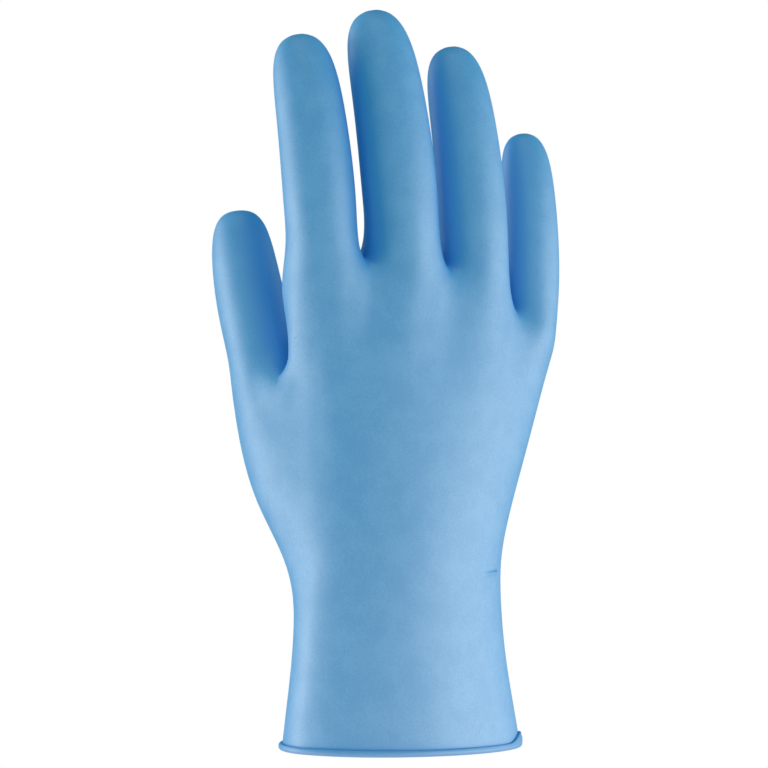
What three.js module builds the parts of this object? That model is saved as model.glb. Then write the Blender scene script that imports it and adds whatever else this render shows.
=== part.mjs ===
// Nitrile exam glove, filled out as it is when worn: one dipped film with five stalls, a flared
// cuff and a rolled bead round the cuff's open end.
// Millimetres. The fingers point up (+Z), the back of the hand faces -Y, and the thumb is on the
// -X side, in front of the palm (+Y). The origin is the centre of the cuff mouth.
import * as THREE from "three";

const lerp = THREE.MathUtils.lerp;
const radians = THREE.MathUtils.degToRad;

// Film: its wall, and how far the rolled bead stands proud of each face
const wall = 1;
const beadRoll = 0.6;

// Cuff and wrist: each is an oval, wide across X and deep along Y
const cuffWidth = 81.3;
const cuffDepth = 47;
const rimTilt = -1.4;
const wristWidth = 70;
const wristDepth = 42;
const wristHeight = 49;
const wristShift = -1.3;

// Palm, measured where the thumb parts from it, and the height from the wrist to there
const palmWidth = 92.2;
const palmDepth = 33;
const palmShift = 6.1;
const palmSquareness = 2.3;
const heelHeight = 66;

// Knuckle line, where the palm parts into the finger stalls. The arch carries the hand's two
// edges forward of its middle, and the rise is that of the highest web above the thumb's.
const knuckleWidth = 97.6;
const knuckleDepth = 27;
const knuckleArch = 7;
const knuckleShift = 8.4;
const knuckleRise = 40;
const edgeRounding = 2;
const webSlope = 3;

// Middle finger's stall: its width and depth are taken half-way along.
const fingerWidth = 24.8;
const fingerDepth = 21.5;
const fingerLength = 87;

// Finger stalls, as shares of those sizes. Spacing is from web to web, a share of the knuckles'
// width. Rise is that of the web on the little finger's side, a share of the knuckles' rise. Bend
// curls the stall towards the palm and lean tips it towards the little finger, both in degrees.
const indexEdgeRise = 0.825;
const fingers = [
  { spacing: 0.272, width: 0.94, depth: 0.95, rise: 1, length: 0.92, bend: 24, lean: -1.3 },
  { spacing: 0.276, width: 0.99, depth: 1, rise: 0.975, length: 1, bend: 27, lean: -1.5 },
  { spacing: 0.263, width: 0.91, depth: 0.93, rise: 0.625, length: 0.96, bend: 25, lean: -0.5 },
  { spacing: 0.189, width: 0.75, depth: 0.79, rise: 0.375, length: 0.77, bend: 22, lean: 3.2 },
];

// Thumb stall. Its heel is where it starts to swell out of the wrist and its root is where it
// parts from the palm. Out and forward are the stall's slopes to the side and to the front, facing
// is the turn from its root to the web, and fullness is the swell of the palm beside it.
const thumbWidth = 23;
const thumbDepth = 22;
const thumbRootWidth = 28;
const thumbLength = 61.4;
const thumbOut = 6.4;
const thumbForward = 14.5;
const thumbBend = 19;
const thumbFacing = -67;
const thumbFullness = 11;
const thumbHeelX = -23;
const thumbHeelY = 6;
const thumbRootX = -35.2;
const thumbRootY = 23;

// Sections of the cuff, from the rim up to the wrist. Height is a share of that way, and close is
// the share of the way from the cuff's oval to the wrist's.
const cuffSections = [
  { height: 0, close: 0 },
  { height: 0.26, close: 0.34 },
  { height: 0.6, close: 0.78 },
  { height: 1, close: 1 },
];

// Sections from the wrist up to the thumb's web. Height and open are shares of the way from the
// wrist's oval to the palm's, out is the share of the way from the thumb's heel to its root, ball
// is a share of the root's width, part is how far the thumb has parted from the palm, and fill and
// arch are shares of the fullness beside the thumb and of the knuckles' arch.
const heelSections = [
  { height: 0.2, open: 0.03, out: 0.1, ball: 0.86, part: 0.1, fill: 0.25, arch: 0.1 },
  { height: 0.44, open: 0.3, out: 0.5, ball: 1, part: 0.35, fill: 0.85, arch: 0.3 },
  { height: 0.7, open: 0.64, out: 0.78, ball: 1.03, part: 0.65, fill: 1, arch: 0.5 },
  { height: 1, open: 1, out: 1, ball: 1, part: 1, fill: 0.7, arch: 0.7 },
];

// Sections of the palm above the thumb's web. Climb is the share of the way up to the knuckles, and
// clear is the same share for the side that faces the thumb, which draws back from it faster.
const palmSections = [
  { climb: 0.34, clear: 0.58 },
  { climb: 0.68, clear: 0.82 },
];

// Points of the knuckle line: palm and back are shares of the knuckles' half depth, drop is a
// share of the slope that the webs have towards the back, inset is a share of the edge's rounding
// and forward is the web point's place as a share of the half depth.
const knuckleShares = {
  edge: { palm: 0.62, back: 0.62, drop: 0, inset: 1, forward: 0 },
  web: { palm: 0.86, back: 0.5, drop: 1, inset: 0, forward: 0.22 },
  stall: { palm: 1, back: 1, drop: 0, inset: 0, forward: 0 },
};

// Sections of a finger stall. Along is a share of its length, wide and deep of its width and depth.
const fingerSections = [
  { along: 0.12, wide: 0.97, deep: 1.04 },
  { along: 0.28, wide: 1.02, deep: 1.03 },
  { along: 0.46, wide: 1.01, deep: 1 },
  { along: 0.64, wide: 0.98, deep: 0.96 },
  { along: 0.8, wide: 0.94, deep: 0.92 },
  { along: 0.93, wide: 0.8, deep: 0.76 },
  { along: 1, wide: 0.4, deep: 0.4 },
];

// Sections of the thumb stall, with the same columns.
const thumbSections = [
  { along: 0.2, wide: 1.08, deep: 0.96 },
  { along: 0.42, wide: 1.02, deep: 1.02 },
  { along: 0.62, wide: 0.98, deep: 0.98 },
  { along: 0.8, wide: 0.9, deep: 0.9 },
  { along: 0.93, wide: 0.73, deep: 0.74 },
  { along: 1, wide: 0.36, deep: 0.38 },
];

// Points round each ring. A cuff ring has one point on the little finger's side, nine along the
// palm, five on the ball of the thumb and nine along the back. Above the thumb's web one point
// stands for the five.
const columns = 2 * fingers.length + 1;
const thumbColumns = 5;
const cuffRing = 2 * columns + thumbColumns + 1;
const stallRing = 8;
const stallStep = (2 * Math.PI) / stallRing;
const beadSteps = 8;

// The turns over which the palm's columns spread, at the wrist and at the thumb's web, and the
// back's columns. The ball of the thumb has the rest. Its swell reaches over six palm columns.
const palmSpread = radians(137);
const webPalmSpread = radians(122);
const backSpread = radians(158);
const thumbStep = (2 * Math.PI - palmSpread - backSpread) / (thumbColumns + 1);
const fullnessReach = 6;

// The bead is a roll round the film's end, so the film stops one roll above the cuff mouth.
const beadRadius = wall / 2 + beadRoll;
const beadTurn = Math.asin(wall / 2 / beadRadius);
const beadDrop = beadRadius * Math.cos(beadTurn);
const rimHeight = beadDrop + beadRadius;
const thumbWebHeight = wristHeight + heelHeight;
const thumbHeel = new THREE.Vector2(thumbHeelX, thumbHeelY);
const thumbRoot = new THREE.Vector2(thumbRootX, thumbRootY);

// Smoothing draws a ring of cage points in towards its middle, so the cage is set out by this much.
function cageSwell(count) {
  return 3 / (2 + Math.cos((2 * Math.PI) / count));
}

// A point of a rounded oval, by its turn from +X towards +Y.
function ovalPoint(centre, halfWide, halfDeep, turn, squareness) {
  const power = 2 / squareness;
  const across = Math.sign(Math.cos(turn)) * Math.abs(Math.cos(turn)) ** power;
  const forward = Math.sign(Math.sin(turn)) * Math.abs(Math.sin(turn)) ** power;
  return new THREE.Vector2(centre.x + halfWide * across, centre.y + halfDeep * forward);
}

// The turn of a cuff ring's point, from the little finger's side round by the palm.
function columnTurn(i, part) {
  if (i <= columns) {
    return (i / columns) * lerp(palmSpread, webPalmSpread, part);
  }
  if (i <= columns + thumbColumns) {
    return palmSpread + (i - columns) * thumbStep;
  }
  return ((i - cuffRing) / columns) * backSpread;
}

// A ring of the cuff, wrist or heel of the hand. The five middle points lie on the thumb's ball
// once it has begun, and the two beside them move onto it as the thumb parts from the palm.
function handRing(section) {
  const swell = cageSwell(cuffRing);
  const halfWide = (section.width / 2) * swell;
  const halfDeep = (section.depth / 2) * swell;
  const centre = new THREE.Vector2(section.shift, 0);
  const halfBall = (section.ballWidth / 2) * cageSwell(stallRing);
  const ballStep = lerp(thumbStep, stallStep, section.part);
  const ballMiddle = lerp(Math.PI, Math.PI + radians(thumbFacing), section.part);
  const ring = [];
  for (let i = 0; i < cuffRing; i += 1) {
    const turn = columnTurn(i, section.part);
    const point = ovalPoint(centre, halfWide, halfDeep, turn, section.squareness);
    const across = (point.x - centre.x) / halfWide;
    point.y += knuckleArch * section.arch * across ** 2;
    const besideThumb = columns - i;
    if (besideThumb >= 0) {
      point.y += thumbFullness * section.fill * Math.max(0, 1 - besideThumb / fullnessReach);
    }
    const fromMiddle = i - cuffRing / 2;
    const reach = Math.abs(fromMiddle) - thumbColumns / 2;
    if (reach < 1) {
      const ball = ovalPoint(section.ball, halfBall, halfBall, ballMiddle + fromMiddle * ballStep, 2);
      point.lerp(ball, reach < 0 ? section.begun : section.part);
    }
    ring.push(new THREE.Vector3(point.x, point.y, section.height + section.tilt * point.x));
  }
  return ring;
}

// A mesh cage: points, and faces that list them anticlockwise seen from outside.
class Cage {
  constructor() {
    this.points = [];
    this.faces = [];
  }

  addPoint(point) {
    this.points.push(point);
    return this.points.length - 1;
  }

  addRing(points) {
    return points.map((point) => this.addPoint(point));
  }

  // Quads between two rings of equal length, the lower one first.
  addBand(lower, upper) {
    lower.forEach((_, i) => {
      const next = (i + 1) % lower.length;
      this.faces.push([lower[i], lower[next], upper[next], upper[i]]);
    });
  }

  // Sets rings on top of one another, and gives back the last.
  stack(first, rings) {
    let below = first;
    for (const points of rings) {
      const ring = this.addRing(points);
      this.addBand(below, ring);
      below = ring;
    }
    return below;
  }
}

function cuffRings() {
  return cuffSections.map((row) =>
    handRing({
      height: lerp(rimHeight, wristHeight, row.height),
      width: lerp(cuffWidth, wristWidth, row.close),
      depth: lerp(cuffDepth, wristDepth, row.close),
      shift: wristShift * row.close,
      tilt: Math.tan(radians(rimTilt)) * (1 - row.close),
      squareness: 2,
      ball: thumbHeel,
      ballWidth: thumbRootWidth,
      begun: 0,
      part: 0,
      fill: 0,
      arch: 0,
    }),
  );
}

function heelRings() {
  return heelSections.map((row) =>
    handRing({
      height: lerp(wristHeight, thumbWebHeight, row.height),
      width: lerp(wristWidth, palmWidth, row.open),
      depth: lerp(wristDepth, palmDepth, row.open),
      shift: lerp(wristShift, palmShift, row.open),
      tilt: 0,
      squareness: lerp(2, palmSquareness, row.open),
      ball: thumbHeel.clone().lerp(thumbRoot, row.out),
      ballWidth: thumbRootWidth * row.ball,
      begun: 1,
      part: row.part,
      fill: row.fill,
      arch: row.arch,
    }),
  );
}

// Edges, webs and stall middles along the knuckle line, from the index finger's edge across.
function knuckleLine() {
  const places = [];
  let spaced = 0;
  let rise = indexEdgeRise;
  for (const finger of fingers) {
    places.push({ spaced, rise, kind: spaced === 0 ? "edge" : "web" });
    places.push({ spaced: spaced + finger.spacing / 2, rise: (rise + finger.rise) / 2, kind: "stall" });
    spaced += finger.spacing;
    rise = finger.rise;
  }
  places.push({ spaced, rise, kind: "edge" });
  const deep = knuckleDepth / 2;
  return places.map((place) => {
    const share = knuckleShares[place.kind];
    const across = (2 * place.spaced) / spaced - 1;
    const x = knuckleShift + (knuckleWidth / 2) * across;
    const y = knuckleArch * (across ** 2 - 0.25);
    const height = thumbWebHeight + knuckleRise * place.rise;
    const inner = x - Math.sign(across) * edgeRounding * share.inset;
    return {
      root: new THREE.Vector3(x, y, height),
      web: new THREE.Vector3(x, y + deep * share.forward, height),
      palm: new THREE.Vector3(inner, y + deep * share.palm, height - (webSlope / 2) * share.drop),
      back: new THREE.Vector3(inner, y - deep * share.back, height - webSlope * share.drop),
    };
  });
}

// Rings of a stall: an arc from its root, with each section square to it, and a closed end. The
// frame's up runs along the stall, palm is the way it bends, and side is square to both.
function addStall(cage, loop, root, frame, size, sections, startTurn) {
  const swell = cageSwell(stallRing);
  const bend = radians(size.bend);
  const arcRadius = size.length / bend;
  const rings = sections.map((row) => {
    const angle = bend * row.along;
    const centre = root
      .clone()
      .addScaledVector(frame.up, arcRadius * Math.sin(angle))
      .addScaledVector(frame.palm, arcRadius * (1 - Math.cos(angle)));
    const palmward = frame.palm
      .clone()
      .multiplyScalar(Math.cos(angle))
      .addScaledVector(frame.up, -Math.sin(angle));
    return Array.from({ length: stallRing }, (_, i) => {
      const turn = startTurn + i * stallStep;
      return centre
        .clone()
        .addScaledVector(frame.side, (size.width / 2) * row.wide * swell * Math.cos(turn))
        .addScaledVector(palmward, (size.depth / 2) * row.deep * swell * Math.sin(turn));
    });
  });
  cage.faces.push(cage.stack(loop, rings));
}

function addThumb(cage, loop) {
  const root = new THREE.Vector3(thumbRoot.x, thumbRoot.y, thumbWebHeight);
  const out = -Math.tan(radians(thumbOut));
  const forward = Math.tan(radians(thumbForward));
  const chord = new THREE.Vector3(out, forward, 1).normalize();
  const facing = radians(thumbFacing);
  const toWeb = new THREE.Vector3(Math.cos(facing), Math.sin(facing), 0);
  const side = toWeb.cross(chord).normalize();
  const up = chord.applyAxisAngle(side, radians(thumbBend / 2));
  const palm = up.clone().cross(side);
  const size = { width: thumbWidth, depth: thumbDepth, length: thumbLength, bend: thumbBend };
  // The loop starts one step past the web point, which faces the palm
  addStall(cage, loop, root, { up, palm, side }, size, thumbSections, Math.PI / 2 + stallStep);
}

// The palm, from the loop left beside the thumb up to the knuckle line.
function addPalm(cage, loop, line) {
  const first = line[0];
  const last = line[columns - 1];
  const palmLine = line.map((place) => place.palm).reverse();
  const backLine = line.map((place) => place.back);
  const knuckles = [last.web, ...palmLine, first.web, ...backLine];
  const thumbSide = columns + 1;
  const rings = palmSections.map((row) =>
    loop.map((index, i) => {
      const start = cage.points[index];
      const nearThumb = Math.max(0, 1 - Math.abs(i - thumbSide) / 3);
      const point = start.clone().lerp(knuckles[i], lerp(row.climb, row.clear, nearThumb));
      return point.setZ(lerp(start.z, knuckles[i].z, row.climb));
    }),
  );
  return cage.stack(loop, [...rings, knuckles]);
}

// The finger stalls. Neighbours share the web between them: a back, a web and a palm point.
function addFingers(cage, knuckles, line) {
  const webs = line.map((place, j) => {
    if (j === 0) {
      return knuckles[columns + 1];
    }
    if (j === columns - 1) {
      return knuckles[0];
    }
    return j % 2 === 0 ? cage.addPoint(place.web) : null;
  });
  const palmAt = (j) => knuckles[columns - j];
  const backAt = (j) => knuckles[columns + 2 + j];
  fingers.forEach((finger, i) => {
    const before = 2 * i;
    const middle = before + 1;
    const after = before + 2;
    const palmSide = [palmAt(after), palmAt(middle), palmAt(before)];
    const backSide = [backAt(before), backAt(middle), backAt(after)];
    const loop = [webs[after], ...palmSide, webs[before], ...backSide];
    const size = {
      width: fingerWidth * finger.width,
      depth: fingerDepth * finger.depth,
      length: fingerLength * finger.length,
      bend: finger.bend,
    };
    const lean = radians(finger.lean);
    const frame = {
      up: new THREE.Vector3(Math.sin(lean), 0, Math.cos(lean)),
      palm: new THREE.Vector3(0, 1, 0),
      side: new THREE.Vector3(Math.cos(lean), 0, -Math.sin(lean)),
    };
    addStall(cage, loop, line[middle].root, frame, size, fingerSections, 0);
  });
}

function buildCage() {
  const cage = new Cage();
  const [rim, ...cuff] = cuffRings();
  const top = cage.stack(cage.addRing(rim), [...cuff, ...heelRings()]);

  // A web point between the two corners of the thumb's ball parts the ring into two loops
  const palmCorner = columns;
  const backCorner = columns + thumbColumns + 1;
  const corners = cage.points[top[palmCorner]].clone().lerp(cage.points[top[backCorner]], 0.5);
  const web = cage.addPoint(corners);
  addThumb(cage, [...top.slice(palmCorner, backCorner + 1), web]);
  const palmLoop = [...top.slice(0, palmCorner + 1), web, ...top.slice(backCorner)];
  const line = knuckleLine();
  addFingers(cage, addPalm(cage, palmLoop, line), line);
  return cage;
}

function edgeKey(a, b) {
  return a < b ? `${a} ${b}` : `${b} ${a}`;
}

// Edges of a mesh by their two points, each with the faces beside it.
function edgeTable(faces) {
  const edges = new Map();
  faces.forEach((face, f) => {
    face.forEach((a, i) => {
      const b = face[(i + 1) % face.length];
      const key = edgeKey(a, b);
      if (!edges.has(key)) {
        edges.set(key, { a, b, faces: [] });
      }
      edges.get(key).faces.push(f);
    });
  });
  return edges;
}

function average(points) {
  const sum = new THREE.Vector3();
  points.forEach((point) => sum.add(point));
  return sum.divideScalar(points.length);
}

// One round of Catmull-Clark smoothing. Each face becomes quads, and the open rim stays a curve.
function smooth({ points, faces }) {
  const facePoints = faces.map((face) => average(face.map((i) => points[i])));
  const around = points.map(() => ({ faces: [], middles: [], rim: [] }));
  faces.forEach((face, f) => face.forEach((i) => around[i].faces.push(facePoints[f])));

  const edgePoints = [];
  const edgeIndex = new Map();
  for (const [key, edge] of edgeTable(faces)) {
    const middle = points[edge.a].clone().lerp(points[edge.b], 0.5);
    const open = edge.faces.length === 1;
    for (const end of [around[edge.a], around[edge.b]]) {
      end.middles.push(middle);
      if (open) {
        end.rim.push(middle);
      }
    }
    const beside = average(edge.faces.map((f) => facePoints[f]));
    edgeIndex.set(key, points.length + faces.length + edgePoints.length);
    edgePoints.push(open ? middle : middle.clone().lerp(beside, 0.5));
  }

  const moved = points.map((point, i) => {
    if (around[i].rim.length > 0) {
      return point.clone().lerp(average(around[i].rim), 0.5);
    }
    const count = around[i].faces.length;
    return average(around[i].faces)
      .addScaledVector(average(around[i].middles), 2)
      .addScaledVector(point, count - 3)
      .divideScalar(count);
  });
  const quads = faces.flatMap((face, f) =>
    face.map((i, k) => {
      const next = face[(k + 1) % face.length];
      const last = face[(k + face.length - 1) % face.length];
      return [i, edgeIndex.get(edgeKey(i, next)), points.length + f, edgeIndex.get(edgeKey(i, last))];
    }),
  );
  return { points: [...moved, ...facePoints, ...edgePoints], faces: quads };
}

// Moves each point of a quad mesh to where endless smoothing would bring it.
function settle({ points, faces }) {
  const near = points.map(() => []);
  const rim = points.map(() => []);
  const across = points.map(() => []);
  for (const { a, b, faces: beside } of edgeTable(faces).values()) {
    near[a].push(points[b]);
    near[b].push(points[a]);
    if (beside.length === 1) {
      rim[a].push(points[b]);
      rim[b].push(points[a]);
    }
  }
  faces.forEach((face) => face.forEach((i, k) => across[i].push(points[face[(k + 2) % 4]])));
  const settled = points.map((point, i) => {
    if (rim[i].length > 0) {
      return point.clone().multiplyScalar(2).add(average(rim[i])).divideScalar(3);
    }
    const count = near[i].length;
    return point
      .clone()
      .multiplyScalar(count)
      .addScaledVector(average(near[i]), 4)
      .add(average(across[i]))
      .divideScalar(count + 5);
  });
  return { points: settled, faces };
}

// Normals of a quad mesh at its points.
function normalsOf({ points, faces }) {
  const normals = points.map(() => new THREE.Vector3());
  for (const [a, b, c, d] of faces) {
    const rising = points[c].clone().sub(points[a]);
    const falling = points[d].clone().sub(points[b]);
    const normal = rising.cross(falling);
    [a, b, c, d].forEach((i) => normals[i].add(normal));
  }
  return normals.map((normal) => normal.normalize());
}

// The rim's points in order round the cuff mouth.
function rimLoop({ faces }) {
  const edges = edgeTable(faces);
  const next = new Map();
  for (const face of faces) {
    face.forEach((a, i) => {
      const b = face[(i + 1) % face.length];
      if (edges.get(edgeKey(a, b)).faces.length === 1) {
        next.set(a, b);
      }
    });
  }
  const [start] = next.keys();
  const loop = [start];
  for (let i = next.get(start); i !== start; i = next.get(i)) {
    loop.push(i);
  }
  return loop;
}

// Rings of the bead, from the film's outer face round and back up to its inner face.
function beadRings(rim, points, normals) {
  const turns = 2 * (Math.PI - beadTurn);
  return Array.from({ length: beadSteps - 1 }, (_, k) => {
    const turn = beadTurn + (turns * (k + 1)) / beadSteps;
    return rim.map((i) => {
      const outward = normals[i].clone().setZ(0).normalize();
      const bead = points[i].clone().addScaledVector(outward, beadRadius * Math.sin(turn) - wall / 2);
      bead.z += beadRadius * Math.cos(turn) - beadDrop;
      return bead;
    });
  });
}

// Two triangles for a quad, split along its shorter diagonal.
function splitQuad(points, [a, b, c, d]) {
  if (points[a].distanceTo(points[c]) <= points[b].distanceTo(points[d])) {
    return [a, b, c, a, c, d];
  }
  return [a, b, d, b, c, d];
}

// Gives the outer skin its wall, and joins the two faces of the film with the bead.
function filmGeometry(skin) {
  const normals = normalsOf(skin);
  const count = skin.points.length;
  const film = new Cage();
  film.addRing(skin.points);
  film.addRing(skin.points.map((point, i) => point.clone().addScaledVector(normals[i], -wall)));
  film.faces.push(...skin.faces);
  film.faces.push(...skin.faces.map((face) => face.map((i) => i + count).reverse()));

  const rim = rimLoop(skin);
  const rings = beadRings(rim, skin.points, normals).map((ring) => film.addRing(ring));
  const path = [rim, ...rings, rim.map((i) => i + count)];
  path.slice(1).forEach((ring, k) => film.addBand(ring, path[k]));

  const geometry = new THREE.BufferGeometry();
  const positions = film.points.flatMap((point) => point.toArray());
  geometry.setAttribute("position", new THREE.Float32BufferAttribute(positions, 3));
  geometry.setIndex(film.faces.flatMap((face) => splitQuad(film.points, face)));
  geometry.computeVertexNormals();
  return geometry;
}

const nitrile = new THREE.MeshStandardMaterial({ color: 0x79abd6, roughness: 0.72, metalness: 0 });
const glove = new THREE.Mesh(filmGeometry(settle(smooth(buildCage()))), nitrile);
glove.name = "glove_film";

const model = new THREE.Group();
model.name = "nitrile_exam_glove";
model.add(glove);

export default model;
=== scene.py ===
"""Nitrile exam glove, dressed for its product photograph.

The glove is one dipped film, so it is one piece. Its cage is drawn out ring by ring in edit mode,
from a circle at the cuff mouth to the five stalls, then it is smoothed, its open end is rolled
into a bead, it is creased where the real film creases, and it gets its wall.
"""

import logging
import math
from dataclasses import dataclass, field
from enum import Enum

import bmesh
import bpy
from mathutils import Matrix, Vector
from mathutils.geometry import intersect_point_line


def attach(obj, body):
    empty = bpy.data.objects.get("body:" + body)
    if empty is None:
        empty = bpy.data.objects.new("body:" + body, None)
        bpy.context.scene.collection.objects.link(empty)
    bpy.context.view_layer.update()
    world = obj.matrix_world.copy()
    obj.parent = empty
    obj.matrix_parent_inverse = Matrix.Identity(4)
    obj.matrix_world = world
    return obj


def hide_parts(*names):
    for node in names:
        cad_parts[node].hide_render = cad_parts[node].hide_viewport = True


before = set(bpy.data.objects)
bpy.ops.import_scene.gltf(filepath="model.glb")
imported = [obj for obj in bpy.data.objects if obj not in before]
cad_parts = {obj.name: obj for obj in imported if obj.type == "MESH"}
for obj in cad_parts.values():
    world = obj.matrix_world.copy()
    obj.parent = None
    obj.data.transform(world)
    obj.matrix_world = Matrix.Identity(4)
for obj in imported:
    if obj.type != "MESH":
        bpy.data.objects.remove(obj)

LOG = logging.getLogger("exam_glove")
MM = 0.001
STALL_RING = 8
STALL_STEP = 2 * math.pi / STALL_RING

# A Mix node's sockets go by number, because its value and colour sockets share their names.
VALUE_A, VALUE_B = 2, 3
COLOUR_A, COLOUR_B, COLOUR_OUT = 6, 7, 2
SHADER_A, SHADER_B = 1, 2


def lerp(a: float, b: float, share: float) -> float:
    """A value part of the way from a to b."""
    return a + (b - a) * share


def cage_swell(count: int) -> float:
    """How far a ring of cage points is set out, because smoothing draws it in.

    Args:
        count: Points round the ring.

    Returns:
        The factor on the ring's radius.
    """
    return 3 / (2 + math.cos(2 * math.pi / count))


def linear(hex_colour: str) -> tuple[float, float, float, float]:
    """Turns an sRGB hex colour to the linear colour that a socket takes.

    Args:
        hex_colour: Six hex digits after a hash sign.

    Returns:
        Red, green, blue and alpha.
    """
    parts = [int(hex_colour[i:i + 2], 16) / 255 for i in (1, 3, 5)]
    red, green, blue = (c / 12.92 if c <= 0.04045 else ((c + 0.055) / 1.055) ** 2.4 for c in parts)
    return red, green, blue, 1.0


def add_node(tree: bpy.types.NodeTree, kind: str, links: dict | None = None, **settings) -> bpy.types.Node:
    """Adds a node with its settings, values and links.

    Args:
        tree: The node tree that gets it.
        kind: The node's type name.
        links: Values or output sockets by input name or index.
        settings: The node's own properties.

    Returns:
        The new node.
    """
    node = tree.nodes.new(kind)
    for key, value in settings.items():
        setattr(node, key, value)
    for key, value in (links or {}).items():
        if isinstance(value, bpy.types.NodeSocket):
            tree.links.new(value, node.inputs[key])
        else:
            node.inputs[key].default_value = value
    return node


def deselect_all() -> None:
    """Leaves nothing selected, so that an operator acts only on what is picked next."""
    if bpy.context.mode != "OBJECT":
        bpy.ops.object.mode_set(mode="OBJECT")
    bpy.ops.object.select_all(action="DESELECT")


class Cage:
    """A mesh that is drawn out loop by loop in edit mode, as by hand."""

    def __init__(self, name: str, points: list[Vector]) -> None:
        """Starts from a circle and brings its points to the first ring.

        Args:
            name: The piece's name.
            points: The first ring, anticlockwise seen from above.
        """
        deselect_all()
        centre = sum(points, Vector()) / len(points)
        radius = max((point - centre).length for point in points)
        bpy.ops.mesh.primitive_circle_add(vertices=len(points), radius=radius, location=centre)
        self.piece = bpy.context.active_object
        self.piece.name = name
        self.piece.data.name = name
        bpy.ops.object.transform_apply(location=True, rotation=True, scale=True)
        bpy.ops.object.mode_set(mode="EDIT")
        bpy.ops.mesh.select_mode(type="VERT")
        self.first = list(range(len(points)))
        for index, point in zip(self.first, points):
            self.place(index, point)

    def shell(self) -> bmesh.types.BMesh:
        """Reads the mesh in edit mode and freshens its table of points.

        Returns:
            The mesh.
        """
        mesh = bmesh.from_edit_mesh(self.piece.data)
        mesh.verts.ensure_lookup_table()
        return mesh

    def at(self, index: int) -> Vector:
        """Where a point is."""
        return self.shell().verts[index].co.copy()

    def pick(self, indices: list[int]) -> None:
        """Selects these points and the edges between them, and nothing else.

        Args:
            indices: The points.
        """
        bpy.ops.mesh.select_all(action="DESELECT")
        mesh = self.shell()
        for index in indices:
            mesh.verts[index].select = True
        mesh.select_flush(True)

    def place(self, index: int, point: Vector) -> None:
        """Moves one point to its place.

        Args:
            index: The point.
            point: Its place, in metres.
        """
        step = point - self.at(index)
        self.pick([index])
        bpy.ops.transform.translate(value=step)

    def draw_out(self, loop: list[int], points: list[Vector]) -> list[int]:
        """Extrudes a closed loop of edges and brings the new loop to its place.

        Args:
            loop: The points of the loop, in order.
            points: The place of each new point, in the same order.

        Returns:
            The new loop.
        """
        self.pick(loop)
        bpy.ops.mesh.extrude_edges_move()
        mesh = self.shell()
        fresh = []
        for index in loop:
            old = mesh.verts[index]
            ends = [edge.other_vert(old) for edge in old.link_edges]
            fresh.append(max(end.index for end in ends if end.select))
        for index, point in zip(fresh, points):
            self.place(index, point)
        return fresh

    def web(self, a: int, b: int) -> int:
        """Joins two points by an edge with a point half-way, which parts a loop in two.

        Args:
            a: A point on one side of the loop.
            b: A point on the other side.

        Returns:
            The point half-way.
        """
        self.pick([a, b])
        bpy.ops.mesh.edge_face_add()
        bpy.ops.mesh.subdivide(number_cuts=1)
        return len(self.shell().verts) - 1

    def close(self, loop: list[int]) -> None:
        """Fills a loop with one face."""
        self.pick(loop)
        bpy.ops.mesh.edge_face_add()

    def finish(self) -> bpy.types.Object:
        """Turns the faces outwards and leaves edit mode.

        Returns:
            The finished piece.
        """
        bpy.ops.mesh.select_all(action="SELECT")
        bpy.ops.mesh.normals_make_consistent(inside=False)
        bpy.ops.mesh.select_all(action="DESELECT")
        bpy.ops.object.mode_set(mode="OBJECT")
        return self.piece


@dataclass(frozen=True)
class Section:
    """A section of the cuff or of the heel of the hand, in millimetres.

    The ball is the middle of the thumb's side, seen from above. The tilt is the rise for each
    millimetre across. Begun is the share by which the thumb's side follows its ball, and part the
    share by which the thumb has parted from the palm. Fullness sets the palm forward beside the
    thumb, and the arch sets both edges forward.
    """

    height: float
    width: float
    depth: float
    shift: float
    squareness: float
    ball: tuple[float, float]
    ball_width: float
    tilt: float = 0.0
    begun: float = 0.0
    part: float = 0.0
    fullness: float = 0.0
    arch: float = 0.0


@dataclass(frozen=True)
class Stall:
    """A finger stall: spacing from web to web, width and depth half-way along, in millimetres.

    The rise is how far the web on its little finger's side lies above the thumb's web. The bend and
    the lean are in degrees.
    """

    name: str
    spacing: float
    width: float
    depth: float
    rise: float
    length: float
    bend: float
    lean: float


class Dipped(Enum):
    """Shares along a stall, and of its width and depth, for the two kinds of stall."""

    FINGER = (
        (0.12, 0.97, 1.04),
        (0.28, 1.02, 1.03),
        (0.46, 1.01, 1.00),
        (0.64, 0.98, 0.96),
        (0.80, 0.94, 0.92),
        (0.93, 0.80, 0.76),
        (1.00, 0.40, 0.40),
    )
    THUMB = (
        (0.20, 1.08, 0.96),
        (0.42, 1.02, 1.02),
        (0.62, 0.98, 0.98),
        (0.80, 0.90, 0.90),
        (0.93, 0.73, 0.74),
        (1.00, 0.36, 0.38),
    )


class KnuckleKind(Enum):
    """How full the knuckle line is at a place.

    Shares of the depth on the palm and on the back, the share by which it drops at a web, the share
    by which it is rounded at an edge, and the share of the depth that the web lies forward.
    """

    EDGE = (0.62, 0.62, 0.0, 1.0, 0.0)
    WEB = (0.86, 0.5, 1.0, 0.0, 0.22)
    STALL = (1.0, 1.0, 0.0, 0.0, 0.0)


@dataclass(frozen=True)
class KnucklePoint:
    """A place on the knuckle line, in millimetres."""

    root: Vector
    web: Vector
    palm: Vector
    back: Vector


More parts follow.
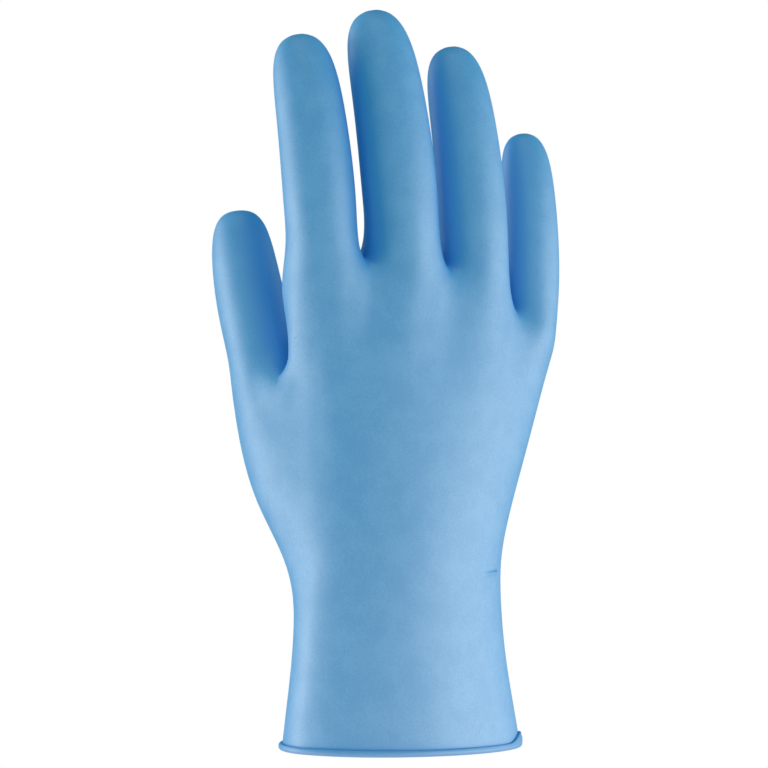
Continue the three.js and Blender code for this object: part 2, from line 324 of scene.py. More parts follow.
@dataclass
class GloveForm:
    """The filled-out form of the glove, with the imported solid's sizes in millimetres and degrees.

    A cuff row is the share of the way up from the rim to the wrist and the share by which it has
    narrowed. A heel row is the share of the way up from the wrist to the thumb's web, how far it has
    opened to the palm, how far the ball of the thumb has moved out, its share of the thumb's width,
    how far the thumb has parted from the palm, and its shares of the fullness and of the arch. A
    palm row is the share of the way up to the knuckles, away from the thumb and beside it.
    """

    rim_height: float = 2.08
    rim_slope: float = -0.0244
    cuff: tuple[float, float] = (81.3, 47.0)
    wrist: tuple[float, float] = (70.0, 42.0)
    wrist_shift: float = -1.3
    wrist_height: float = 49.0
    palm: tuple[float, float] = (92.2, 33.0)
    palm_shift: float = 6.1
    web_height: float = 115.0
    knuckle_depth: float = 27.0
    knuckle_arch: float = 7.0
    index_edge: float = -40.4
    index_edge_rise: float = 33.0
    edge_rounding: float = 2.0
    web_slope: float = 3.0
    thumb_root: tuple[float, float] = (-35.2, 23.0)
    thumb_fullness: float = 11.0
    stalls: tuple[Stall, ...] = (
        Stall("index", 26.55, 23.31, 20.43, 40.0, 80.04, 24.0, -1.3),
        Stall("middle", 26.94, 24.55, 21.5, 39.0, 87.0, 27.0, -1.5),
        Stall("ring", 25.67, 22.57, 20.0, 25.0, 83.52, 25.0, -0.5),
        Stall("little", 18.45, 18.6, 16.99, 15.0, 66.99, 22.0, 3.2),
    )
    thumb: Stall = Stall("thumb", 28.0, 23.0, 22.0, 0.0, 61.4, 19.0, 6.4)
    thumb_forward: float = 14.5
    thumb_facing: float = -67.0
    thumb_columns: int = 5
    cuff_rows: tuple[tuple[float, float], ...] = ((0.0, 0.0), (0.26, 0.34), (0.6, 0.78), (1.0, 1.0))
    heel_rows: tuple[tuple[float, ...], ...] = (
        (0.2, 0.03, 0.1, 0.86, 0.1, 0.25, 0.1),
        (0.44, 0.3, 0.5, 1.0, 0.35, 0.85, 0.3),
        (0.7, 0.64, 0.78, 1.03, 0.65, 1.0, 0.5),
        (1.0, 1.0, 1.0, 1.0, 1.0, 0.7, 0.7),
    )
    palm_rows: tuple[tuple[float, float], ...] = ((0.34, 0.58), (0.68, 0.82))
    cuff_squareness: float = 2.0
    palm_squareness: float = 2.3
    ball_start: tuple[float, float] = (-23.0, 6.0)
    fullness_columns: int = 6
    clear_columns: int = 3
    arch_level: float = 0.25
    palm_spread: float = 137.0
    web_palm_spread: float = 122.0
    back_spread: float = 158.0
    columns: int = field(init=False)
    ring: int = field(init=False)

    def __post_init__(self) -> None:
        """Counts the points round a ring from the number of stalls."""
        self.columns = 2 * len(self.stalls) + 1
        self.ring = 2 * self.columns + self.thumb_columns + 1

    def sections(self) -> list[Section]:
        """Lists the rings from the rim up to the thumb's web.

        Returns:
            The sections, lowest first.
        """
        rows = []
        for height, close in self.cuff_rows:
            rows.append(Section(
                height=lerp(self.rim_height, self.wrist_height, height),
                width=lerp(self.cuff[0], self.wrist[0], close),
                depth=lerp(self.cuff[1], self.wrist[1], close),
                shift=self.wrist_shift * close,
                squareness=self.cuff_squareness,
                ball=self.ball_start,
                ball_width=self.thumb.spacing,
                tilt=self.rim_slope * (1 - close),
            ))
        for height, opened, out, ball, part, fill, arch in self.heel_rows:
            rows.append(Section(
                height=lerp(self.wrist_height, self.web_height, height),
                width=lerp(self.wrist[0], self.palm[0], opened),
                depth=lerp(self.wrist[1], self.palm[1], opened),
                shift=lerp(self.wrist_shift, self.palm_shift, opened),
                squareness=lerp(self.cuff_squareness, self.palm_squareness, opened),
                ball=tuple(lerp(low, high, out) for low, high in zip(self.ball_start, self.thumb_root)),
                ball_width=self.thumb.spacing * ball,
                begun=1.0,
                part=part,
                fullness=self.thumb_fullness * fill,
                arch=self.knuckle_arch * arch,
            ))
        return rows

    def turn(self, i: int, part: float) -> float:
        """Finds the turn of a ring's point, from the little finger's side round by the palm.

        Args:
            i: The point's number in the ring.
            part: How far the thumb has parted from the palm.

        Returns:
            The turn in radians.
        """
        spread = math.radians(self.palm_spread)
        if i <= self.columns:
            return (i / self.columns) * lerp(spread, math.radians(self.web_palm_spread), part)
        if i <= self.columns + self.thumb_columns:
            return spread + (i - self.columns) * self.ball_step()
        return ((i - self.ring) / self.columns) * math.radians(self.back_spread)

    def ball_step(self) -> float:
        """The turn from one point on the thumb's side to the next."""
        left = 2 * math.pi - math.radians(self.palm_spread + self.back_spread)
        return left / (self.thumb_columns + 1)

    def ring_points(self, row: Section) -> list[Vector]:
        """The points of a ring of the cuff, wrist or heel of the hand.

        Args:
            row: The section.

        Returns:
            The points in metres, anticlockwise from the little finger's side.
        """
        swell = cage_swell(self.ring)
        half_wide, half_deep = row.width / 2 * swell, row.depth / 2 * swell
        half_ball = row.ball_width / 2 * cage_swell(STALL_RING)
        step = lerp(self.ball_step(), STALL_STEP, row.part)
        facing = lerp(math.pi, math.pi + math.radians(self.thumb_facing), row.part)
        points = []
        for i in range(self.ring):
            turn = self.turn(i, row.part)
            point = oval(Vector((row.shift, 0)), half_wide, half_deep, turn, row.squareness)
            across = (point.x - row.shift) / half_wide
            point.y += row.arch * across ** 2
            beside = self.columns - i
            if beside >= 0:
                point.y += row.fullness * max(0.0, 1 - beside / self.fullness_columns)
            from_middle = i - self.ring / 2
            reach = abs(from_middle) - self.thumb_columns / 2
            if reach < 1:
                ball = oval(Vector(row.ball), half_ball, half_ball, facing + from_middle * step,
                            self.cuff_squareness)
                point = point.lerp(ball, row.begun if reach < 0 else row.part)
            points.append(Vector((point.x, point.y, row.height + row.tilt * point.x)) * MM)
        return points

    def knuckle_line(self) -> list[KnucklePoint]:
        """Finds the edges, webs and stall middles along the knuckles.

        Returns:
            The places, from the index finger's edge across to the little finger's.
        """
        places = []
        x, rise = self.index_edge, self.index_edge_rise
        for stall in self.stalls:
            places.append((x, rise, KnuckleKind.WEB if places else KnuckleKind.EDGE))
            places.append((x + stall.spacing / 2, (rise + stall.rise) / 2, KnuckleKind.STALL))
            x, rise = x + stall.spacing, stall.rise
        places.append((x, rise, KnuckleKind.EDGE))
        middle, half = (self.index_edge + x) / 2, (x - self.index_edge) / 2
        deep = self.knuckle_depth / 2
        line = []
        for x, rise, kind in places:
            palm, back, drop, inset, forward = kind.value
            across = (x - middle) / half
            y = self.knuckle_arch * (across ** 2 - self.arch_level)
            z = self.web_height + rise
            inner = x - math.copysign(self.edge_rounding * inset, across)
            line.append(KnucklePoint(
                root=Vector((x, y, z)) * MM,
                web=Vector((x, y + deep * forward, z)) * MM,
                palm=Vector((inner, y + deep * palm, z - self.web_slope / 2 * drop)) * MM,
                back=Vector((inner, y - deep * back, z - self.web_slope * drop)) * MM,
            ))
        return line


def oval(centre: Vector, half_wide: float, half_deep: float, turn: float, squareness: float) -> Vector:
    """Finds a point of a rounded oval.

    Args:
        centre: The oval's middle.
        half_wide: Half its width.
        half_deep: Half its depth.
        turn: The point's turn from +X towards +Y, in radians.
        squareness: Two for an ellipse, and more for a squarer oval.

    Returns:
        The point, in the units of the oval.
    """
    power = 2 / squareness
    across = math.copysign(abs(math.cos(turn)) ** power, math.cos(turn))
    forward = math.copysign(abs(math.sin(turn)) ** power, math.sin(turn))
    return Vector((centre.x + half_wide * across, centre.y + half_deep * forward))


def draw_stall(
    cage: Cage,
    loop: list[int],
    root: Vector,
    axes: tuple[Vector, Vector, Vector],
    stall: Stall,
    rows: Dipped,
    start_turn: float,
) -> None:
    """Draws a stall out along an arc from its root and closes its tip.

    Args:
        cage: The cage that it grows from.
        loop: The eight points round its root.
        root: The middle of that loop.
        axes: Up along the stall, towards the palm, and to the side.
        stall: Its sizes.
        rows: Its sections.
        start_turn: The turn of the loop's first point.
    """
    up, palm, side = axes
    bend = math.radians(stall.bend)
    arc = stall.length * MM / bend
    swell = cage_swell(STALL_RING)
    for along, wide, deep in rows.value:
        angle = bend * along
        centre = root + up * (arc * math.sin(angle)) + palm * (arc * (1 - math.cos(angle)))
        palmward = palm * math.cos(angle) - up * math.sin(angle)
        half_wide, half_deep = stall.width / 2 * MM * wide * swell, stall.depth / 2 * MM * deep * swell
        points = []
        for i in range(STALL_RING):
            turn = start_turn + i * STALL_STEP
            across = side * (half_wide * math.cos(turn))
            forward = palmward * (half_deep * math.sin(turn))
            points.append(centre + across + forward)
        loop = cage.draw_out(loop, points)
    cage.close(loop)


def inside(place: Vector, box: list[tuple[float, float]]) -> bool:
    """Whether a place lies in a box."""
    return all(low < value < high for value, (low, high) in zip(place, box))


@dataclass(frozen=True)
class Crease:
    """A fold, ridge or dent of the film, along a path on its face. Millimetres.

    Each point of the path has a place and the share of the height that it has there. A height below
    zero is a groove. Reach is the half width at which the film is flat again.
    """

    path: tuple[tuple[float, float, float, float], ...]
    reach: float
    height: float

    def share_at(self, place: Vector, reach: float) -> float:
        """The share of the height at a place near the path.

        Args:
            place: The place, in metres.
            reach: The half width to use.

        Returns:
            Nought where the place is out of reach, and up to one on the path.
        """
        best = 0.0
        for low, high in zip(self.path, self.path[1:]):
            start, end = Vector(low[:3]) * MM, Vector(high[:3]) * MM
            along = min(1.0, max(0.0, intersect_point_line(place, start, end)[1]))
            gap = (place - start.lerp(end, along)).length / (reach * MM)
            if gap < 1:
                best = max(best, (0.5 + 0.5 * math.cos(math.pi * gap)) * lerp(low[3], high[3], along))
        return best

    def box(self, margin: float) -> list[tuple[float, float]]:
        """The lowest and highest place of the path on each axis, with a margin in millimetres."""
        sides = [[point[axis] for point in self.path] for axis in range(3)]
        return [((min(side) - margin) * MM, (max(side) + margin) * MM) for side in sides]


@dataclass
class FilmRelief:
    """The marks on the worn film: wrist folds, drawn webs, thumb side folds and soft dents.

    The last side fold lies at the root of the index finger, and the last drawn web fills the notch
    beside the thumb.
    """

    wrist_folds: tuple[Crease, ...] = (
        Crease(((31.4, 0.0, 59.5, 0.0), (31.6, -5.0, 58.0, 1.0), (28.4, -11.0, 56.6, 0.9),
                (24.2, -14.3, 56.4, 0.5), (17.5, -17.5, 56.2, 0.0)), 0.45, -0.52),
        Crease(((31.6, -5.0, 56.2, 0.0), (27.7, -11.6, 55.2, 1.0), (23.2, -14.8, 55.0, 0.7),
                (18.5, -17.1, 54.8, 0.0)), 0.4, -0.22),
        Crease(((31.6, -5.0, 57.0, 0.5), (27.7, -11.7, 55.9, 1.0), (21.5, -15.7, 55.6, 0.0)), 0.6, 0.14),
    )
    side_folds: tuple[Crease, ...] = (
        Crease(((-37.9, 3.4, 129.2, 0.4), (-37.2, 0.5, 131.2, 1.0), (-36.0, -1.3, 132.7, 0.0)), 0.5, -0.12),
        Crease(((-37.6, 4.0, 126.0, 0.5), (-36.8, 0.6, 128.4, 1.0), (-35.5, -1.9, 129.8, 0.0)), 0.5, -0.12),
        Crease(((-37.5, 2.9, 124.0, 0.5), (-36.5, 0.6, 125.2, 1.0), (-35.1, -1.8, 125.6, 0.0)), 0.5, -0.1),
        Crease(((-22.7, -7.5, 163.4, 0.0), (-20.4, -6.1, 162.9, 1.0), (-18.4, -5.2, 161.6, 0.6)),
               0.5, -0.14),
    )
    drawn_webs: tuple[Crease, ...] = (
        Crease(((-17.7, -7.7, 153.4, 0.6), (-19.3, -9.2, 147.0, 1.0), (-19.9, -10.3, 135.3, 0.5),
                (-20.1, -11.6, 122.7, 0.0)), 3.6, 0.16),
        Crease(((10.6, -9.9, 151.9, 0.6), (7.9, -11.8, 146.7, 1.0), (5.7, -13.3, 137.1, 0.6),
                (4.5, -14.9, 122.0, 0.0)), 4.0, 0.18),
        Crease(((1.4, -12.7, 149.5, 0.0), (0.0, -13.4, 141.0, 1.0), (-0.8, -14.4, 128.0, 0.0)), 4.0, -0.12),
        Crease(((32.8, -10.3, 136.1, 0.6), (33.2, -10.7, 131.0, 1.0), (31.5, -12.0, 123.8, 0.6),
                (29.5, -13.2, 113.0, 0.0)), 3.4, 0.15),
        Crease(((-38.0, 4.3, 118.5, 0.6), (-39.1, 4.9, 111.0, 1.0), (-39.8, 4.1, 100.0, 0.0)), 4.0, 0.14),
        Crease(((-37.4, 14.6, 121.5, 0.7), (-38.3, 10.4, 118.4, 1.0), (-40.4, 8.0, 115.0, 0.6)), 9.0, 2.0),
    )
    soft_dents: tuple[Crease, ...] = (
        Crease(((-32.0, -6.0, 109.5, 1.0), (-30.0, -7.2, 108.4, 1.0)), 4.4, -0.14),
        Crease(((-31.0, -7.3, 97.0, 1.0), (-32.6, -6.8, 92.5, 0.7)), 4.2, -0.14),
        Crease(((-31.6, -8.0, 87.0, 1.0), (-30.4, -8.8, 86.0, 1.0)), 4.2, -0.13),
        Crease(((-34.6, -5.2, 83.0, 0.7), (-33.6, -6.0, 80.6, 1.0)), 4.6, 0.13),
        Crease(((-27.6, -8.4, 125.4, 1.0), (-22.6, -10.7, 123.6, 0.8)), 4.4, -0.11),
        Crease(((0.2, -15.0, 123.4, 1.0), (1.0, -15.2, 121.6, 0.8)), 4.6, -0.11),
        Crease(((22.0, -13.8, 129.6, 1.0), (23.0, -13.6, 128.6, 0.8)), 3.6, -0.09),
    )
    fold_cuts: int = 8
    fold_margin: float = 1.6

    def refine(self, film: bpy.types.Object) -> None:
        """Cuts the faces beside the narrow folds finer, so that they can take them.

        Args:
            film: The film, smoothed all but once.
        """
        deselect_all()
        film.select_set(True)
        bpy.context.view_layer.objects.active = film
        bpy.ops.object.mode_set(mode="EDIT")
        bpy.ops.mesh.select_mode(type="FACE")
        bpy.ops.mesh.select_all(action="DESELECT")
        mesh = bmesh.from_edit_mesh(film.data)
        for fold in (*self.wrist_folds, *self.side_folds):
            reach = fold.reach + self.fold_margin
            box = fold.box(reach)
            for face in mesh.faces:
                place = face.calc_center_median()
                if inside(place, box) and fold.share_at(place, reach) > 0:
                    face.select = True
        bpy.ops.mesh.subdivide(number_cuts=self.fold_cuts, smoothness=1.0)
        bpy.ops.object.mode_set(mode="OBJECT")

    def press(self, film: bpy.types.Object) -> None:
        """Moves the film along its normals wherever a mark lies.

        Args:
            film: The smoothed film.
        """
        for mark in (*self.wrist_folds, *self.side_folds, *self.drawn_webs, *self.soft_dents):
            box = mark.box(mark.reach)
            struck = [vertex for vertex in film.data.vertices if inside(vertex.co, box)]
            steps = [v.normal * (mark.height * mark.share_at(v.co, mark.reach) * MM) for v in struck]
            for vertex, step in zip(struck, steps):
                vertex.co += step


@dataclass
class RolledBead:
    """The film's open end, rolled outwards on itself. Millimetres and degrees."""

    half_out: float = 0.52
    half_tall: float = 0.84
    steps: int = 18
    roll: float = 330.0
    fold_step: int = 12
    fold_depth: float = 0.2
    fold_from: float = -88.0
    fold_to: float = -30.0
    flare_turn: float = -10.0
    flare_spread: float = 18.0
    flare_height: float = 2.6
    flare_lean: float = 0.4

    def roll_up(self, film: bpy.types.Object, form: GloveForm) -> None:
        """Extrudes the rim round the roll, ring by ring, then folds and flares it.

        Args:
            film: The smoothed film, open at the cuff.
            form: The form, for the rim's height, width and depth.
        """
        deselect_all()
        film.select_set(True)
        bpy.context.view_layer.objects.active = film
        bpy.ops.object.mode_set(mode="EDIT")
        bpy.ops.mesh.select_mode(type="EDGE")
        bpy.ops.mesh.select_all(action="DESELECT")
        bpy.ops.mesh.select_non_manifold(extend=False, use_boundary=True, use_wire=False,
                                         use_multi_face=False, use_non_contiguous=False, use_verts=False)
        out, height = 0.0, form.rim_height
        rings = []
        for step in range(1, self.steps + 1):
            turn = math.radians(180 + self.roll * (step - 1) / (self.steps - 1))
            new_out = self.half_out * (1 + math.cos(turn))
            new_height = self.half_tall * (1 + math.sin(turn))
            bpy.ops.mesh.extrude_edges_move(
                TRANSFORM_OT_translate={"value": (0, 0, (new_height - height) * MM)})
            grow = [(size / 2 + new_out) / (size / 2 + out) for size in form.cuff]
            bpy.ops.transform.resize(value=(grow[0], grow[1], 1), center_override=(0, 0, 0))
            out, height = new_out, new_height
            mesh = bmesh.from_edit_mesh(film.data)
            rings.append([vertex.index for vertex in mesh.verts if vertex.select])
        bpy.ops.object.mode_set(mode="OBJECT")
        self.fold(film, rings[self.fold_step - 1])
        self.flare(film, rings, form)
        rolled = film.data.attributes.new("rolled", "FLOAT", "POINT")
        for ring in rings:
            for index in ring:
                rolled.data[index].value = 1.0

    def fold(self, film: bpy.types.Object, ring: list[int]) -> None:
        """Draws one ring in on the little finger's side of the back, where a fold shows.

        Args:
            film: The film with its bead.
            ring: The points of the ring.
        """
        for index in ring:
            vertex = film.data.vertices[index]
            turn = math.degrees(math.atan2(vertex.co.y, vertex.co.x))
            share = min(1.0, max(0.0, (turn - self.fold_from) / (self.fold_to - self.fold_from)))
            if turn < 0:
                inward = Vector((-vertex.co.x, -vertex.co.y, 0)).normalized()
                vertex.co += inward * (self.fold_depth * share * MM)

    def flare(self, film: bpy.types.Object, rings: list[list[int]], form: GloveForm) -> None:
        """Lifts the top of the bead against the cuff at the little finger's edge.

        Args:
            film: The film with its bead.
            rings: The points of each ring of the bead.
            form: The form, for the rim's slope.
        """
        for index in (index for ring in rings for index in ring):
            vertex = film.data.vertices[index]
            turn = math.degrees(math.atan2(vertex.co.y, vertex.co.x))
            off = abs(turn - self.flare_turn) / self.flare_spread
            if off < 1:
                tall = vertex.co.z / MM - form.rim_slope * vertex.co.x / MM
                share = tall / (2 * self.half_tall) * (0.5 + 0.5 * math.cos(math.pi * off))
                outward = Vector((vertex.co.x, vertex.co.y, 0)).normalized()
                vertex.co.z += self.flare_height * share * MM
                vertex.co -= outward * (self.flare_lean * share * MM)


@dataclass
class ExamGlove:
    """The glove's film: its form, its rolled bead and its wall."""

    form: GloveForm = field(default_factory=GloveForm)
    relief: FilmRelief = field(default_factory=FilmRelief)
    bead: RolledBead = field(default_factory=RolledBead)
    film_thickness: float = 0.25
    smoothing: int = 3

    def build(self) -> bpy.types.Object:
        """Models the glove.

        Returns:
            The finished piece, at the origin.
        """
        film = self.draw_cage()
        first = self.smoothing - 1
        self.apply(film, "SUBSURF", levels=first, render_levels=first, use_limit_surface=False)
        self.relief.refine(film)
        self.apply(film, "SUBSURF", levels=1, render_levels=1)
        self.relief.press(film)
        self.bead.roll_up(film, self.form)
        self.apply(film, "SOLIDIFY", thickness=self.film_thickness * MM, offset=-1.0)
        bpy.ops.object.shade_smooth()
        return film

    def apply(self, piece: bpy.types.Object, kind: str, **settings) -> None:
        """Adds a modifier to a piece and applies it.

        Args:
            piece: The piece.
            kind: The modifier's type name.
            settings: The modifier's own properties.
        """
        deselect_all()
        piece.select_set(True)
        bpy.context.view_layer.objects.active = piece
        modifier = piece.modifiers.new(kind.lower(), kind)
        for key, value in settings.items():
            setattr(modifier, key, value)
        bpy.ops.object.modifier_apply(modifier=modifier.name)

    def draw_cage(self) -> bpy.types.Object:
        """Draws the cage out from the cuff to the tips of the stalls.

        Returns:
            The cage, open at the cuff.
        """
        form = self.form
        first, *rows = form.sections()
        cage = Cage("dipped_film", form.ring_points(first))
        loop = cage.first
        for row in rows:
            loop = cage.draw_out(loop, form.ring_points(row))
        palm_corner, back_corner = form.columns, form.columns + form.thumb_columns + 1
        web = cage.web(loop[palm_corner], loop[back_corner])
        self.draw_thumb(cage, [*loop[palm_corner:back_corner + 1], web])
        line = form.knuckle_line()
        knuckles = self.draw_palm(cage, [*loop[:palm_corner + 1], web, *loop[back_corner:]], line)
        self.draw_fingers(cage, knuckles, line)
        return cage.finish()

    def draw_thumb(self, cage: Cage, loop: list[int]) -> None:
        """Draws the thumb's stall out of its loop.

        Args:
            cage: The cage.
            loop: The eight points round the thumb's root.
        """
        form = self.form
        root = Vector((*form.thumb_root, form.web_height)) * MM
        out = -math.tan(math.radians(form.thumb.lean))
        forward = math.tan(math.radians(form.thumb_forward))
        chord = Vector((out, forward, 1)).normalized()
        facing = math.radians(form.thumb_facing)
        side = Vector((math.cos(facing), math.sin(facing), 0)).cross(chord).normalized()
        up = Matrix.Rotation(math.radians(form.thumb.bend / 2), 3, side) @ chord
        palm = up.cross(side)
        draw_stall(cage, loop, root, (up, palm, side), form.thumb, Dipped.THUMB, math.pi / 2 + STALL_STEP)

    def draw_palm(self, cage: Cage, loop: list[int], line: list[KnucklePoint]) -> list[int]:
        """Draws the palm up from beside the thumb to the knuckle line.

        Args:
            cage: The cage.
            loop: The points round the palm, level with the thumb's web.
            line: The places on the knuckle line.

        Returns:
            The loop round the knuckles.
        """
        first, last = line[0], line[-1]
        knuckles = [last.web, *[place.palm for place in reversed(line)], first.web, *[p.back for p in line]]
        start = [cage.at(index) for index in loop]
        thumb_side = self.form.columns + 1
        for climb, clear in self.form.palm_rows:
            points = []
            for i, (low, high) in enumerate(zip(start, knuckles)):
                near_thumb = max(0.0, 1 - abs(i - thumb_side) / self.form.clear_columns)
                point = low.lerp(high, lerp(climb, clear, near_thumb))
                point.z = lerp(low.z, high.z, climb)
                points.append(point)
            loop = cage.draw_out(loop, points)
        return cage.draw_out(loop, knuckles)

    def draw_fingers(self, cage: Cage, knuckles: list[int], line: list[KnucklePoint]) -> None:
        """Parts the knuckle loop at the webs and draws out the four finger stalls.

        Args:
            cage: The cage.
            knuckles: The points round the knuckles.
            line: The places on the knuckle line.
        """
        columns = self.form.columns
        webs = {0: knuckles[columns + 1], columns - 1: knuckles[0]}
        for j in range(2, columns - 1, 2):
            webs[j] = cage.web(knuckles[columns - j], knuckles[columns + 2 + j])
            cage.place(webs[j], line[j].web)
        for i, stall in enumerate(self.form.stalls):
            j = 2 * i
            palm_side = [knuckles[columns - k] for k in (j + 2, j + 1, j)]
            back_side = [knuckles[columns + 2 + k] for k in (j, j + 1, j + 2)]
            lean = math.radians(stall.lean)
            axes = (
                Vector((math.sin(lean), 0, math.cos(lean))),
                Vector((0, 1, 0)),
                Vector((math.cos(lean), 0, -math.sin(lean))),
            )
            loop = [webs[j + 2], *palm_side, webs[j], *back_side]
            draw_stall(cage, loop, line[j + 1].root, axes, stall, Dipped.FINGER, 0.0)


@dataclass(frozen=True)
class NitrileFilm:
    """Nitrile rubber film, dipped on a former and chlorinated, so it is powder free.

    Chlorinating leaves a dry satin skin: a saturated blue body under a broad pale haze, with no
    sharp highlight. Rubber's own IOR of 1.52 gives too faint a haze, so it is raised. Where film
    hides film, between the stalls and in folds, a deeper blue is painted in by an occlusion mask:
    painted shade. The skin's real grain of about 0.1 mm is too fine to show, so it is drawn at
    0.6 mm.
    """

    name: str = "nitrile_film_dipped_chlorinated"
    body: str = "#489ad6"
    thin: str = "#66a8de"
    # Painted shade: the deeper blue that the occlusion mask lays in between the stalls and in folds.
    deep: str = "#0094dc"
    roll: str = "#4094d4"
    grain_mm: float = 0.6
    cloud_mm: float = 9.0
    cloud_detail: float = 4.0
    cloud_roughness: float = 0.6
    grain_detail: float = 2.0
    grain_share: float = 0.45
    mottle_range: tuple[float, float] = (0.42, 0.58)
    # How far the painted shade's occlusion mask looks, its samples, and the occlusion over which the painted
    # shade comes in.
    painted_shade_reach_mm: float = 46.0
    painted_shade_samples: int = 12
    painted_shade_range: tuple[float, float] = (1.0, 0.68)
    grain_height_mm: float = 0.03
    grain_strength: float = 0.3
    roughness: float = 0.62
    gloss: float = 1.0
    dense_ior: float = 2.2

    def build(self) -> bpy.types.Material:
        """Makes the material's nodes.

        Returns:
            The material.
        """
        material = bpy.data.materials.new(self.name)
        material.use_nodes = True
        tree = material.node_tree
        tree.nodes.clear()
        place = add_node(tree, "ShaderNodeTexCoord").outputs["Object"]
        cloud = add_node(tree, "ShaderNodeTexNoise", {
            "Vector": place,
            "Scale": 1 / (self.cloud_mm * MM),
            "Detail": self.cloud_detail,
            "Roughness": self.cloud_roughness,
        })
        grain = add_node(tree, "ShaderNodeTexNoise", {
            "Vector": place,
            "Scale": 1 / (self.grain_mm * MM),
            "Detail": self.grain_detail,
        })
        mottle = add_node(tree, "ShaderNodeMix",
                          {"Factor": self.grain_share, VALUE_A: cloud.outputs["Fac"],
                           VALUE_B: grain.outputs["Fac"]})
        tint = add_node(tree, "ShaderNodeMapRange", {
            "Value": mottle.outputs["Result"],
            "From Min": self.mottle_range[0],
            "From Max": self.mottle_range[1],
        })
        film = add_node(tree, "ShaderNodeMix", {
            "Factor": tint.outputs["Result"],
            COLOUR_A: linear(self.body),
            COLOUR_B: linear(self.thin),
        }, data_type="RGBA")
        # Painted shade: an ambient occlusion mask mixes the deeper blue in where film hides film, between
        # the stalls and in folds.
        between = add_node(tree, "ShaderNodeAmbientOcclusion", {"Distance": self.painted_shade_reach_mm * MM},
                           samples=self.painted_shade_samples, only_local=True)
        gap = add_node(tree, "ShaderNodeMapRange", {
            "Value": between.outputs["AO"],
            "From Min": self.painted_shade_range[0],
            "From Max": self.painted_shade_range[1],
        })
        film_with_painted_shade = add_node(tree, "ShaderNodeMix", {
            "Factor": gap.outputs["Result"],
            COLOUR_A: film.outputs[COLOUR_OUT],
            COLOUR_B: linear(self.deep),
        }, data_type="RGBA")
        rolled = add_node(tree, "ShaderNodeAttribute", attribute_name="rolled").outputs["Fac"]
        whole = add_node(tree, "ShaderNodeMix", {
            "Factor": rolled,
            COLOUR_A: film_with_painted_shade.outputs[COLOUR_OUT],
            COLOUR_B: linear(self.roll),
        }, data_type="RGBA")
        bump = add_node(tree, "ShaderNodeBump", {
            "Height": grain.outputs["Fac"],
            "Strength": self.grain_strength,
            "Distance": self.grain_height_mm * MM,
        })
        shader = add_node(tree, "ShaderNodeBsdfPrincipled", {
            "Base Color": whole.outputs[COLOUR_OUT],
            "Roughness": self.roughness,
            "Specular IOR Level": self.gloss,
            "IOR": self.dense_ior,
            "Normal": bump.outputs["Normal"],
        })
        add_node(tree, "ShaderNodeOutputMaterial", {"Surface": shader.outputs["BSDF"]})
        return material


@dataclass(frozen=True)
class WhitePaper:
    """Matt uncoated white paper for the floor.

    It gives the eye an even, pale ground with no gloss. Its faint warm glow evens out the cool fill,
    so that it stays white, and it fades out before its edge.
    """

    name: str = "matt_white_paper"
    colour: str = "#fafafa"
    glow: str = "#c49581"
    roughness: float = 0.9
    gloss: float = 0.2
    full_share: float = 0.4

    def build(self, radius: float) -> bpy.types.Material:
        """Makes the paper's nodes.

        Args:
            radius: The round's radius, in metres.

        Returns:
            The material.
        """
        material = bpy.data.materials.new(self.name)
        material.use_nodes = True
        tree = material.node_tree
        tree.nodes.clear()
        place = add_node(tree, "ShaderNodeTexCoord").outputs["Object"]
        middle = add_node(tree, "ShaderNodeVectorMath", {"Vector": place}, operation="LENGTH")
        edge = add_node(tree, "ShaderNodeMapRange", {
            "Value": middle.outputs["Value"],
            "From Min": radius,
            "From Max": radius * self.full_share,
        }, interpolation_type="SMOOTHSTEP")
        shader = add_node(tree, "ShaderNodeBsdfPrincipled", {
            "Base Color": linear(self.colour),
            "Roughness": self.roughness,
            "Specular IOR Level": self.gloss,
            "Emission Color": linear(self.glow),
            "Emission Strength": 1.0,
            "Alpha": edge.outputs["Result"],
        })
        add_node(tree, "ShaderNodeOutputMaterial", {"Surface": shader.outputs["BSDF"]})
        return material


@dataclass(frozen=True)
class Softbox:
    """A soft light that faces the glove, placed by its turn and height from the camera's side.

    Degrees, watts and metres.
    """

    name: str
    azimuth: float
    elevation: float
    power: float
    size: float = 1.1
    distance: float = 2.0

    def place(self, aim: Vector, camera_azimuth: float) -> None:
        """Adds the light.

        Args:
            aim: The point that it faces, in metres.
            camera_azimuth: The camera's own turn, in degrees.
        """
        turn, rise = math.radians(self.azimuth + camera_azimuth), math.radians(self.elevation)
        towards = Vector((math.sin(turn) * math.cos(rise), -math.cos(turn) * math.cos(rise), math.sin(rise)))
        data = bpy.data.lights.new(self.name, "AREA")
        data.shape = "DISK"
        data.size = self.size
        data.energy = self.power
        light = bpy.data.objects.new(self.name, data)
        light.location = aim + towards * self.distance
        light.rotation_euler = (-towards).to_track_quat("-Z", "Y").to_euler()
        light.visible_camera = False
        bpy.context.scene.collection.objects.link(light)


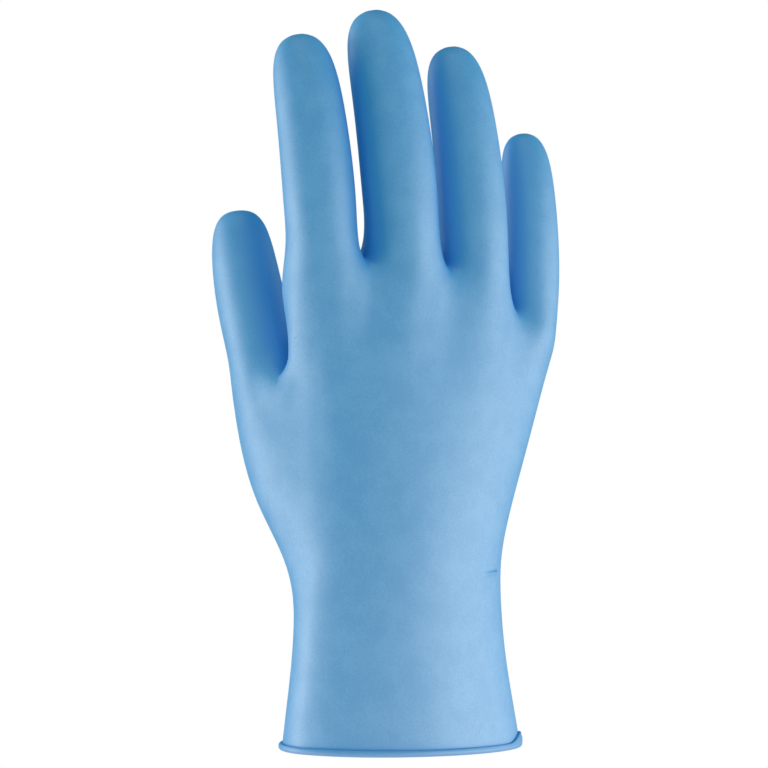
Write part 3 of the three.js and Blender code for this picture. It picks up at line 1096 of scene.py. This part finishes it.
@dataclass
class Studio:
    """White surround, pale floor, soft lights at both sides and the photograph's camera.

    Metres and degrees, and the lens in millimetres.
    """

    aim: Vector = field(default_factory=lambda: Vector((-0.0055, 0.0026, 0.1167)))
    azimuth: float = -25.0
    distance: float = 0.85
    lens: float = 123.7
    floor_height: float = -0.06
    floor_radius: float = 0.34
    floor_sides: int = 96
    fill: tuple[float, float, float, float] = (0.03, 0.3, 0.38, 1.0)
    softboxes: tuple[Softbox, ...] = (
        Softbox("left_softbox", -78.0, -4.0, 16.4),
        Softbox("left_rim_softbox", -115.0, 20.0, 5.0),
        Softbox("right_softbox", 69.0, -4.0, 13.8),
        Softbox("right_rim_softbox", 108.0, 0.0, 7.5),
        Softbox("top_softbox", 0.0, 76.0, 3.2),
        Softbox("front_softbox", 5.0, 12.0, 2.5),
    )

    def build(self) -> None:
        """Sets the floor, the light and the camera."""
        self.add_floor()
        self.add_world()
        self.add_camera()
        for softbox in self.softboxes:
            softbox.place(self.aim, self.azimuth)

    def add_floor(self) -> None:
        """Lays a round of white paper below the glove, which is held up by its cuff."""
        deselect_all()
        bpy.ops.mesh.primitive_circle_add(vertices=self.floor_sides, radius=self.floor_radius,
                                          fill_type="NGON", location=(0, 0, self.floor_height))
        floor = bpy.context.active_object
        floor.name = "pale_floor"
        floor.data.materials.append(WhitePaper().build(self.floor_radius))

    def add_world(self) -> None:
        """Sets a white surround behind the glove, which lights it only as a faint cool fill."""
        world = bpy.data.worlds.new("white_surround")
        world.use_nodes = True
        tree = world.node_tree
        tree.nodes.clear()
        seen = add_node(tree, "ShaderNodeLightPath").outputs["Is Camera Ray"]
        fill = add_node(tree, "ShaderNodeBackground", {"Color": self.fill, "Strength": 1.0})
        white = add_node(tree, "ShaderNodeBackground", {"Color": linear("#ffffff"), "Strength": 1.0})
        mix = add_node(tree, "ShaderNodeMixShader", {
            "Fac": seen,
            SHADER_A: fill.outputs["Background"],
            SHADER_B: white.outputs["Background"],
        })
        add_node(tree, "ShaderNodeOutputWorld", {"Surface": mix.outputs["Shader"]})
        bpy.context.scene.world = world

    def add_camera(self) -> None:
        """Adds the camera at the photograph's place and makes it the scene's."""
        turn = math.radians(self.azimuth)
        away = Vector((-math.sin(turn), math.cos(turn), 0))
        data = bpy.data.cameras.new("photo_camera")
        data.lens = self.lens
        camera = bpy.data.objects.new("photo_camera", data)
        camera.location = self.aim - away * self.distance
        camera.rotation_euler = away.to_track_quat("-Z", "Y").to_euler()
        bpy.context.scene.collection.objects.link(camera)
        bpy.context.scene.camera = camera


def main() -> None:
    """Builds the glove and its studio."""
    logging.basicConfig(level=logging.INFO, format="%(message)s")
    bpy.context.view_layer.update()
    glove = ExamGlove().build()
    glove.data.materials.append(NitrileFilm().build())
    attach(glove, "root")
    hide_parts("glove_film")
    LOG.info("%s: %d faces", glove.name, len(glove.data.polygons))
    Studio().build()
    bpy.context.scene.view_settings.view_transform = "Standard"


if __name__ == "__main__":
    main()
